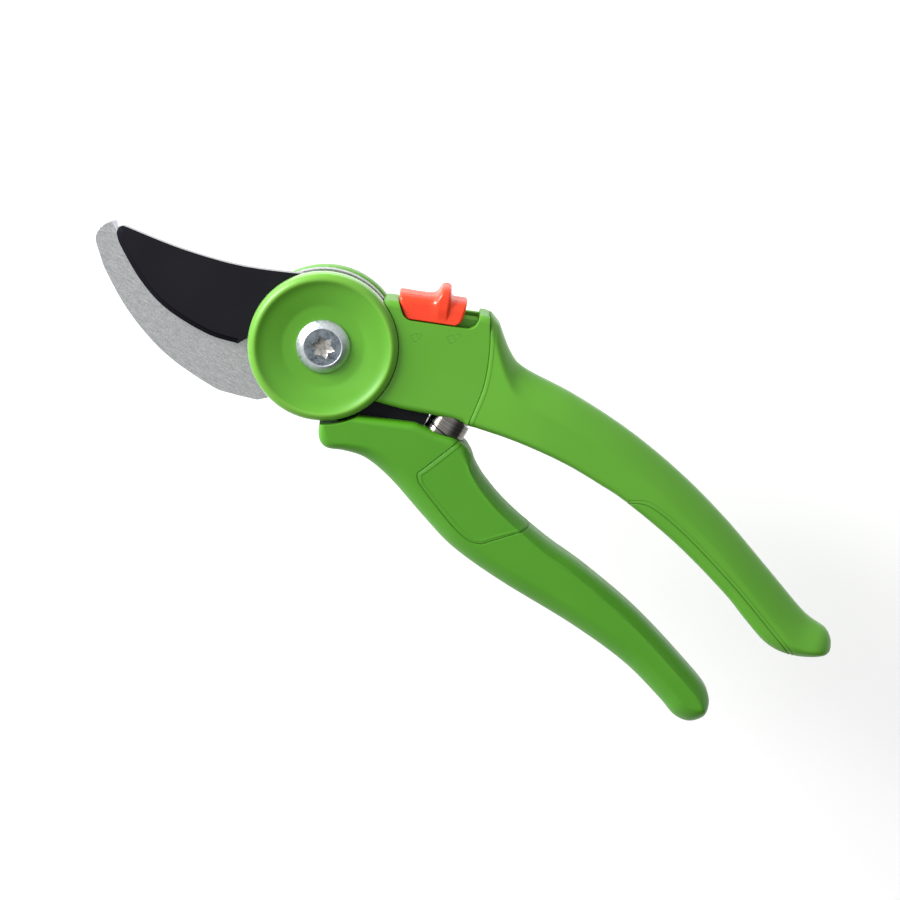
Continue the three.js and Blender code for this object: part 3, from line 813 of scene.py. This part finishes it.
def make_upper_pad():
    pad = keep(upper_bar(), plate("region", upper_pad_region(-SPLIT), -FAR, FAR))
    engrave(pad, UPPER_PAD_LINE, UPPER_PAD_GROOVE, upper_bar)
    smooth(paint(pad, PAD))
    pad.name = "upper_pad_skin"
    return dress(pad, FIXED, "pad_green", "upper_grip_pad")


def make_lower_handle():
    handle = lower_bar()
    cut(handle, pin("hollow", LOWER_ARC_R, -FAR, FAR, sides=160),
        plate("blade_slot", blade_outline(), BLADE_BACK - 0.1, BLADE_FRONT + 0.1),
        pin_along_y("pocket", SPRING_POCKET_R, *LOWER_POCKET),
        plate("pad_space", finger_pad_region(SPLIT), -FAR, FAR))
    engrave(handle, FINGER_PAD_LINE, FINGER_PAD_GROOVE, lower_bar)
    smooth(paint(handle, LOWER_GREEN))
    handle.name = "lower_handle_skin"
    return dress(handle, MOVING, "handle_green", "lower_handle")


def make_finger_pad():
    pad = keep(lower_bar(), plate("region", finger_pad_region(-SPLIT), -FAR, FAR))
    cut(pad, pin_along_y("pocket", SPRING_POCKET_R, *LOWER_POCKET))
    engrave(pad, FINGER_PAD_LINE, FINGER_PAD_GROOVE, lower_bar)
    inside = plate("inside", finger_pad_region(-0.5), -FAR, FAR)
    raise_bead(pad, around_finger_pad(-0.85), FINGER_PAD_BEAD, lower_bar, inside)
    smooth(paint(pad, LOWER_PAD))
    pad.name = "finger_pad_skin"
    return dress(pad, MOVING, "pad_green", "finger_pad")


# ------------------------------------------------------------------ head

def lock_plate(name, points, z0, z1):
    return plate(name, in_lock(points), z0, z1)


def corner_rounded(points, corners, radius, steps=5):
    """Polygon with the listed corners rounded off."""
    out = []
    count = len(points)
    for i, point in enumerate(np.array(points, float)):
        if i not in corners:
            out.append(point)
            continue
        before = np.array(points[i - 1], float) - point
        after = np.array(points[(i + 1) % count], float) - point
        a = point + before / np.linalg.norm(before) * radius
        b = point + after / np.linalg.norm(after) * radius
        for k in range(steps + 1):
            t = k / steps
            out.append((1 - t) ** 2 * a + 2 * t * (1 - t) * point + t * t * b)
    return np.array(out)


NOTCH_MOUTH = [(17.4, 4), (18.4, 6), (19, 14), (-9, 14), (-3.1, 6)]
FRONT_NOTCH = corner_rounded([(-0.5, -0.35), (16.6, -0.35), (17.25, 1.9), *NOTCH_MOUTH, (-2.2, 3.3)],
                             (0, 1), 2.1)
RAIL_NOTCH = [(-1.9, 1.6), (17.2, 1.6), *NOTCH_MOUTH]
BACK_NOTCH = [(-2, 2.3), (17.3, 2.3), *NOTCH_MOUTH]
BACK_GAP = [(-0.6, -1.4), (16.2, -1.4), (17.3, 2.6), (-2, 2.6)]
FRONT_GAP = [(0.4, -2.4), (15.4, -2.4), (15.4, 0), (0.4, 0)]
LATCH_SLOT = [(-4, -6.4), (9.2, -6.4), (9.2, 2), (1.4, 2), (1.4, -2.2), (-4, -2.2)]
HOOK_SLOT = [(0, 0), (30.8, 0.1), (31.5, 11.3), (15, 10.2), (0, 14)]
BLADE_SLOT = [(12, -12), (32.4, -12), (32.4, -1.9), (12, -1.9)]


def head_core(grow):
    return plate("head_core", HEAD, -grow, PANEL_FRONT + grow)


def back_cheek():
    """Round cheek behind the hook's boss, with a rounded back edge."""
    return turned("cheek", [(0, 0), (CHEEK_R - 1.4, 0), (CHEEK_R - 0.6, 0.25), (CHEEK_R - 0.12, 0.8),
                            (CHEEK_R, 1.5), (CHEEK_R, CHEEK_TOP - 0.5), (CHEEK_R - 0.15, CHEEK_TOP - 0.15),
                            (CHEEK_R - 0.5, CHEEK_TOP), (0, CHEEK_TOP)], 160)


def cheek_shoulder():
    """The cheek stands out a little more on the side of the lock."""
    shoulder = pin("shoulder", CHEEK_SHOULDER_R, 0.2, CHEEK_TOP - 0.02, 0.45, 0.1, 160)
    round_edges(shoulder, 0.5, 4, 50)
    return keep(shoulder, plate("lock_side", [(-20, 0.5), (20, 0.5), (20, 20), (-20, 20)], -FAR, FAR))


def in_lock_notch(face):
    u, v = from_lock(face.center / MM)
    return abs(face.normal.z) < 0.5 and -2 < u < 17.3 and -0.2 < v < 4 and face.center.z < 9.3 * MM


def make_head():
    head = cushion("head", HEAD, 0, PANEL_FRONT, HEAD_ROUNDING, HEAD_ROUNDED_FROM, HEAD_ROUNDED_TO)
    cut(head, pin("hollow", HEAD_BORE_R, CHEEK_TOP + 0.4, FAR, sides=160))
    left_side = np.vstack([PARTING - np.array([SPLIT, 0]), [(26, 40), (-20, 40), (-20, -30), (41, -30)]])
    keep(head, plate("left_side", left_side, -FAR, FAR))
    engrave(head, PARTING, PARTING_GROOVE, head_core)
    cut(head,
        lock_plate("front_notch", FRONT_NOTCH, 9.1, FAR),
        lock_plate("rail_notch", RAIL_NOTCH, 3.7, 9.2),
        lock_plate("back_notch", BACK_NOTCH, -FAR, 3.8),
        lock_plate("back_gap", BACK_GAP, 2.3, 3.8),
        lock_plate("front_gap", FRONT_GAP, 9.1, 11.2),
        lock_plate("latch_slot", LATCH_SLOT, 7.3, 8.9),
        plate("hook_slot", HOOK_SLOT, CHEEK_TOP, BLADE_BACK),
        plate("blade_slot", BLADE_SLOT, HOOK_FRONT, DISC_BACK),
        pin_along_y("pocket", SPRING_POCKET_R, *UPPER_POCKET))
    join(head, back_cheek(), cheek_shoulder())
    cut(head, pin("shank_hole", 3.7, -FAR, CHEEK_TOP + 1), pin("nut_pocket", 6.6, -FAR, 3.4))
    for x, y in HOOK_RIVETS:
        cut(head, pin("rivet_seat", RIVET_SEAT_R, -FAR, RIVET_SEAT_DEPTH, x, y, 48))
    keep_flats_flat(smooth(paint(head, GREEN, NOTCH_GREEN)))
    for face in head.data.polygons:
        face.material_index = 1 if in_lock_notch(face) else 0
    head.name = "upper_head_skin"
    return dress(head, FIXED, "handle_green", "upper_handle")


def tube(name, points, radius):
    """Thin round bead along a closed or open line of (x, y, z) points, in millimetres."""
    curve = bpy.data.curves.new(name, "CURVE")
    curve.dimensions = "3D"
    curve.bevel_depth = radius * MM
    curve.bevel_resolution = 2
    line = curve.splines.new("POLY")
    line.points.add(len(points) - 1)
    for point, place in zip(line.points, points):
        point.co = (*(np.array(place, float) * MM), 1)
    obj = add_to_scene(name, curve)
    depsgraph = bpy.context.evaluated_depsgraph_get()
    mesh = bpy.data.meshes.new_from_object(obj.evaluated_get(depsgraph))
    bpy.data.objects.remove(obj)
    return add_to_scene(name, mesh)


def padlock_lines(lift):
    """Body and bow of a padlock sign; lift raises the bow of an open one."""
    body = [(-0.9, -1.3), (0.9, -1.3), (0.9, 0.1), (-0.9, 0.1), (-0.9, -1.3)]
    arch = [(0.55 * math.cos(a), 0.5 + lift + 0.6 * math.sin(a)) for a in np.linspace(math.pi, 0, 9)]
    return body, [(-0.55, 0.1), *arch, (0.55, 0.1 + lift)]


def make_lock_signs():
    """Low raised padlock signs, closed and open, beside the two ends of the slider's travel."""
    made = []
    height = PANEL_FRONT - 0.065
    c, s = math.cos(SIGN_TURN), math.sin(SIGN_TURN)
    for name, x, y, lift in (("sign_closed", 18.2, 13.6, 0.0), ("sign_open", 25.9, 17.6, 0.5)):
        for k, line in enumerate(padlock_lines(lift)):
            points = [(x + u * c - v * s, y + u * s + v * c, height) for u, v in line]
            made.append(tube(f"{name}_{k}", points, 0.11))
    signs = made[0]
    for other in made[1:]:
        join_plain(signs, other)
    signs.name = "lock_signs"
    smooth(paint(signs, GREEN), 60)
    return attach(signs, FIXED)


# ------------------------------------------------------------------ pivot

def make_front_disc():
    rim = [(17.4, DISC_BACK), (17.9, 10.25), (18.15, 10.6), (18.2, 11.2), (18.18, 11.9), (18.05, 12.6),
           (17.8, 13.2), (17.45, 13.7), (17.05, 14.02), (16.7, 14.17), (16.45, GRIP_FRONT), (16.2, 14.14)]
    dish = [(15.9, 13.98), (15.5, 13.72), (14.9, 13.42), (14.1, 13.16), (13.1, 12.9), (12.1, 12.64),
            (11.2, 12.4), (10.6, 12.23), (10.2, 12.12), (9.9, 12.05), (9.6, 12.01), (9.2, 11.98),
            (8.0, 11.88), (6.6, 11.79), (3.7, 11.76)]
    under = [(3.7, 10.7), (9.2, 10.7), (9.2, DISC_BACK)]
    disc = turned("front_disc_skin", rim + dish + under, 192)
    smooth(paint(disc, GREEN, DISC_WALL_HIGHLIGHT, DISC_RIM_HIGHLIGHT), 50)
    for face in disc.data.polygons:
        from_axis = Vector(face.center[:2]).length / MM
        level = face.center.z / MM
        # faces of the outer wall take the paler green of a painted highlight
        on_wall = from_axis > DISC_WALL_FROM_R and level > DISC_BACK
        # faces of the rim take a slightly paler green, a painted highlight
        on_rim = from_axis > DISC_RIM_FROM_R and level > DISC_RIM_FROM_Z
        face.material_index = 1 if on_wall else 2 if on_rim else 0
    return dress(disc, FIXED, "handle_green", "front_disc")


def six_lobe_recess():
    """Funnel-shaped hole with six lobes in the top of the bolt."""
    angles = np.arange(120) * 2 * math.pi / 120
    radius = 2.28 + 0.5 * np.cos(6 * angles) ** 3 + 0.1 * np.cos(6 * angles)
    turn = math.radians(14)
    lobes = np.column_stack([radius * np.cos(angles + turn), radius * np.sin(angles + turn)])
    funnel = turned("funnel", [(0, BOLT_TOP - 2.2), (3.1, BOLT_TOP - 0.5), (3.1, FAR), (0, FAR)], 72)
    return keep(plate("recess", lobes, BOLT_TOP - 2.6, FAR), funnel)


def make_bolt():
    flat = [(0, BOLT_TOP - 0.08), (BOLT_FLAT_R - 0.32, BOLT_TOP - 0.08), (BOLT_FLAT_R - 0.2, BOLT_TOP - 0.01)]
    bevel = [(BOLT_FLAT_R - 0.1, BOLT_TOP), (BOLT_FLAT_R + 0.06, BOLT_TOP - 0.06),
             (BOLT_HEAD_R - 0.12, BOLT_EDGE + 0.12), (BOLT_HEAD_R, BOLT_EDGE - 0.04)]
    under = [(BOLT_HEAD_R, BOLT_SEAT + 0.05), (BOLT_HEAD_R - 0.1, BOLT_SEAT), (SHANK_R, BOLT_SEAT),
             (SHANK_R, 0), (0, 0)]
    bolt = turned("pivot_bolt_skin", flat + bevel + under, 128)
    cut(bolt, six_lobe_recess())
    smooth(bolt, 30)
    paint(bolt, ZINC, ZINC_FLAT_SHADED, ZINC_RECESS_PAINTED_LIGHT)
    for face in bolt.data.polygons:
        level = face.center.z / MM
        # the flat top takes the much darker zinc, painted shade
        on_top = face.normal.z > 0.9 and level > BOLT_TOP - 0.15
        from_axis = Vector(face.center[:2]).length / MM
        # the recess walls take the warmer zinc, painted highlight and shade
        inside = from_axis < 3.1 and BOLT_TOP - 2.5 < level < BOLT_TOP - 0.1
        face.material_index = 1 if on_top and from_axis < BOLT_FLAT_R - 0.3 else 2 if inside else 0
    return dress(bolt, FIXED, "zinc", "pivot_bolt")


def make_hook():
    hook = plate("hook_skin", hook_outline(), HOOK_BACK, HOOK_FRONT)
    cut(hook, pin("hole", SLEEVE_HOLE_R, 0, FAR))
    tip = np.array([(-59.7, 1.75), (-55.9, -0.35)])
    cut(hook, bevel_cutter(tip, 0.85, HOOK_FRONT - 0.36, HOOK_FRONT))
    keep_flats_flat(smooth(paint(hook, HOOK_STEEL, TIP_STEEL_AND_HIGHLIGHT)))
    for face in hook.data.polygons:
        # sloped tip faces take the paler steel, partly a painted highlight
        face.material_index = 1 if 0.3 < face.normal.z < 0.98 and face.center.x < -50 * MM else 0
    return dress(hook, FIXED, "hook_steel", "hook")


def bevel_cutter(line, width, low, high, step=0.0):
    """Wedge along a cutting edge: it takes the face from full height, width inside the edge,
    down to low at the edge. A step makes a small steep drop first."""
    rings = []
    run_in = 0.3 if step else 0.0
    slope = (high - step - low) / (width - run_in)
    for point, out in zip(line, sideways(line)):
        inside = point - out * width
        foot = point - out * (width - run_in - 0.001)
        outside = point + out * 1.5
        rings.append(np.array([(*inside, high), (*foot, high - step - 0.001), (*outside, low - slope * 1.5),
                               (*outside, high + 3), (*inside, high + 3)]))
    return rings_to_mesh("bevel_cutter", rings)


def make_blade():
    blade = plate("cutting_blade_skin", blade_outline(), BLADE_BACK, BLADE_FRONT)
    cut(blade, pin("hole", SLEEVE_HOLE_R, 0, FAR))
    edge = by_length(np.vstack([CUTTING_EDGE, [(-56.6, -0.4), (-56.6, 0.6)]]), 64)
    cut(blade, bevel_cutter(edge, 1.35, BLADE_BACK + 1.3, BLADE_FRONT, 0.45))
    keep_flats_flat(smooth(blade, 12))
    paint(blade, BLACK, EDGE_STEEL, BLACK_GROUND, BLACK_STEP)
    for face in blade.data.polygons:
        side_wall = abs(face.normal.z) < 0.2
        steep = 0.2 < face.normal.z < 0.6
        sloped = 0.6 <= face.normal.z < 0.98
        outside = Vector(face.center[:2]).length / MM > BLADE_BOSS_R + 0.3 and face.center.x < 0
        face.material_index = (1 if side_wall else 2 if sloped else 3 if steep else 0) if outside else 0
    return dress(blade, MOVING, "blade_black", "cutting_blade")


# ------------------------------------------------------------------ volute spring

def make_spring():
    """Strip wound into a barrel."""
    per_turn = 64
    rings = []
    shares = []
    for i in range(2 * SPRING_TURNS * per_turn + 1):
        turn = i / per_turn - SPRING_TURNS
        far = abs(turn)
        radius = SPRING_R - max(0, min(far, 1) - 0.5) - 0.5 * max(0, far - 1)
        rise = math.copysign(FIRST_TURN_RISE * min(far, 1) + NEXT_TURN_RISE * max(0, far - 1), turn)
        angle = turn * 2 * math.pi
        ring = []
        for out, up in ((-1, -1), (1, -1), (1.12, 0), (1, 1), (-1, 1)):
            r = radius + out * STRIP_THICKNESS / 2
            ring.append((SPRING_X + r * math.cos(angle), SPRING_Y + rise + up * STRIP_WIDTH / 2,
                         SPRING_Z + r * math.sin(angle)))
        rings.append(np.array(ring))
        shares += [(turn + SPRING_TURNS) / (2 * SPRING_TURNS)] * len(ring)
    spring = rings_to_mesh("volute_spring_strip", rings)
    smooth(paint(spring, SPRING), 40)
    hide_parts("volute_spring")
    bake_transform(spring)
    return spring


# ------------------------------------------------------------------ lock slider

SLIDER_LEFT = [(0, -0.1), (1, -0.85), (2, -1.45), (4, -2.2), (6.2, -2.6), (9.5, -3.0)]
SLIDER_RIGHT = [(0, 12.0), (0.5, 12.8), (1, 13.15), (2.6, 13.6), (6, 14.0), (9.5, 14.3)]
SLIDER_TOP = [(-3, 6.2), (-1, 6.2), (2, 6.15), (4.6, 6.2), (5.9, 6.45), (6.6, 7.05), (7.1, 8.0),
              (7.6, 8.8), (8.4, 9.05), (9.2, 8.95), (9.7, 8.3), (9.9, 7.0), (10.2, 6.4), (10.8, 6.2),
              (12, 6.2), (14.5, 6.2)]
FIN_SHARE = [(-3, 0), (3.8, 0), (5.2, 0.1), (6.2, 0.45), (7.0, 0.92), (7.8, 1), (9.1, 1), (9.6, 0.8),
             (9.9, 0.2), (10.4, 0), (14.5, 0)]


def rounded_arch(half, top, radius, wall=12, corner=8, roof=16):
    """Upright section: two walls, two rounded corners and a roof, as (across, height) points."""
    up = np.linspace(0, top - radius, wall + 1)[:-1]
    turn = np.linspace(0, math.pi / 2, corner + 1)
    x, y = half - radius, top - radius
    corner_points = [(x + radius * math.cos(a), y + radius * math.sin(a)) for a in turn]
    flat = [(x, top) for x in np.linspace(half - radius, 0, roof + 1)[1:]]
    right_side = [(half, v) for v in up] + corner_points + flat
    return right_side + [(-x, v) for x, v in right_side[:-1][::-1]]


def slider_stations():
    """Places along the slide: close together at both rounded ends and at the fin."""
    first, last = SLIDER_ENDS
    corner = END_ROUNDING * (1 - np.cos(np.linspace(0, math.pi / 2, 7)))
    before_fin = np.linspace(first + 0.8, 4.6, 14)
    at_fin = np.linspace(4.7, 11.2, 70)
    after_fin = np.linspace(11.5, last - 0.8, 8)
    return np.concatenate([first + corner, before_fin, at_fin, after_fin, last - corner[::-1]])


def make_slider():
    """Saddle with a thumb fin. Each ring is an arch over the rail; its roof falls a little to the
    front, and it is wider at the fin."""
    left = spline(SLIDER_LEFT, 6)
    right = spline(SLIDER_RIGHT, 6)
    top_line = spline(SLIDER_TOP, 6)
    fin_line = spline(FIN_SHARE, 6)
    first, last = SLIDER_ENDS
    rings = []
    for at in slider_stations():
        share = (at - first) / (last - first)
        top = np.interp(at, top_line[:, 0], top_line[:, 1])
        fin = np.clip(np.interp(at, fin_line[:, 0], fin_line[:, 1]), 0, 1)
        to_end = min(at - first, last - at, END_ROUNDING)
        inset = END_ROUNDING - math.sqrt(END_ROUNDING ** 2 - (END_ROUNDING - to_end) ** 2)
        half = SLIDER_HALF_WIDTH - inset
        ring = []
        for across, v in rounded_arch(half, top - inset, SLIDER_ROOF_RADIUS):
            v -= 0.1 * max(0, across + half - SLIDER_ROOF_RADIUS) * (v / top) ** 6
            low = np.interp(v, left[:, 0], left[:, 1])
            high = np.interp(v, right[:, 0], right[:, 1])
            across *= 1 + 0.13 * fin * min(max((v - 0.8) / 2.6, 0), 1)
            (x, y), = in_lock([(low + (high - low) * share, v)])
            ring.append((x, y, SLIDER_MIDDLE_Z + across))
        rings.append(np.array(ring))
    slider = rings_to_mesh("lock_slider_skin", rings)
    cut(slider, lock_plate("rail_space", [(-4, -2), (18, -2), (18, 1.9), (-4, 1.9)], 3.5, 9.4),
        lock_plate("back_space", [(-4, -2), (18, -2), (18, 2.6), (-4, 2.6)], 0, 3.6))
    keep_flats_flat(smooth(paint(slider, RED), 40))
    return dress(slider, LOCK, "lock_red", "lock_slider")


# ------------------------------------------------------------------ carried-over CAD nodes

def dress_frame_nodes():
    looks = {"hook_rivet_1": ZINC, "hook_rivet_2": ZINC, "blade_rivet_1": ZINC, "blade_rivet_2": ZINC,
             "pivot_nut": ZINC, "nut_washer": ZINC, "pivot_sleeve": EDGE_STEEL, "friction_washer": BLACK,
             "detent_spring": SPRING, "lock_latch": EDGE_STEEL}
    for name, material in looks.items():
        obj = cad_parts[name]
        for slot in obj.material_slots:
            slot.material = material


# ------------------------------------------------------------------ stage, light, camera

def make_stage():
    corners = [(-1500, -1500), (1600, -1500), (1600, 1500), (-1500, 1500)]
    floor = new_object("floor", [(x, y, FLOOR) for x, y in corners], [(0, 1, 2, 3)])
    paint(floor, floor_paint())


def photo_axes():
    """Right, up and back directions of the camera: it looks down at the front, tipped towards photo-up."""
    right = Vector((math.cos(CAMERA_ROLL), math.sin(CAMERA_ROLL), 0))
    up_flat = Vector((-right.y, right.x, 0))
    back = up_flat * math.sin(CAMERA_TIP) + Vector((0, 0, 1)) * math.cos(CAMERA_TIP)
    return right, back.cross(right), back


def make_camera():
    right, up, back = photo_axes()
    target = Vector(CAMERA_TARGET) * MM
    camera = add_to_scene("camera", bpy.data.cameras.new("camera"))
    camera.data.sensor_width = 36
    camera.data.lens = camera.data.sensor_width * CAMERA_DISTANCE / VIEW_WIDTH
    camera.data.clip_start = 0.05
    turn = Matrix((right, up, back)).transposed().to_4x4()
    camera.matrix_world = Matrix.Translation(target + back * CAMERA_DISTANCE) @ turn
    bpy.context.scene.camera = camera


def make_key_light(direction):
    light = bpy.data.lights.new("key", "AREA")
    light.shape = "SQUARE"
    light.size = KEY_SIZE
    light.energy = KEY_POWER
    obj = add_to_scene("key", light)
    target = Vector(KEY_TARGET) * MM
    place = target + direction.normalized() * KEY_DISTANCE
    turn = (place - target).to_track_quat("Z", "Y").to_matrix().to_4x4()
    obj.matrix_world = Matrix.Translation(place) @ turn


def make_world(right, up, back):
    """White studio surroundings that fall off to dark on the photo's lower right."""
    world = bpy.data.worlds.new("world")
    bpy.context.scene.world = world
    world.use_nodes = True
    tree = world.node_tree
    background = tree.nodes["Background"]
    dark = (right * 0.66 - up * 0.75 + back * 0.1).normalized()
    direction = tree.nodes.new("ShaderNodeTexCoord")
    facing = tree.nodes.new("ShaderNodeVectorMath")
    facing.operation = "DOT_PRODUCT"
    facing.inputs[1].default_value = dark
    tree.links.new(direction.outputs["Generated"], facing.inputs[0])
    strength = tree.nodes.new("ShaderNodeMapRange")
    strength.interpolation_type = "SMOOTHSTEP"
    strength.inputs["From Min"].default_value, strength.inputs["From Max"].default_value = WORLD_FADE
    strength.inputs["To Min"].default_value = WORLD_BRIGHT
    strength.inputs["To Max"].default_value = WORLD_DARK
    tree.links.new(facing.outputs["Value"], strength.inputs["Value"])
    tree.links.new(strength.outputs["Result"], background.inputs["Strength"])
    background.inputs["Color"].default_value = (1, 1, 1, 1)


def make_lights():
    right, up, back = photo_axes()
    make_key_light(up * 0.6 - right * 0.95 + back * 0.58)
    make_world(right, up, back)
    bpy.context.scene.view_settings.view_transform = "Standard"


make_camera()
make_lights()
make_stage()
make_upper_grip()
make_upper_pad()
make_head()
make_lock_signs()
make_front_disc()
make_bolt()
make_hook()
make_blade()
make_lower_handle()
make_finger_pad()
make_spring()
make_slider()
dress_frame_nodes()
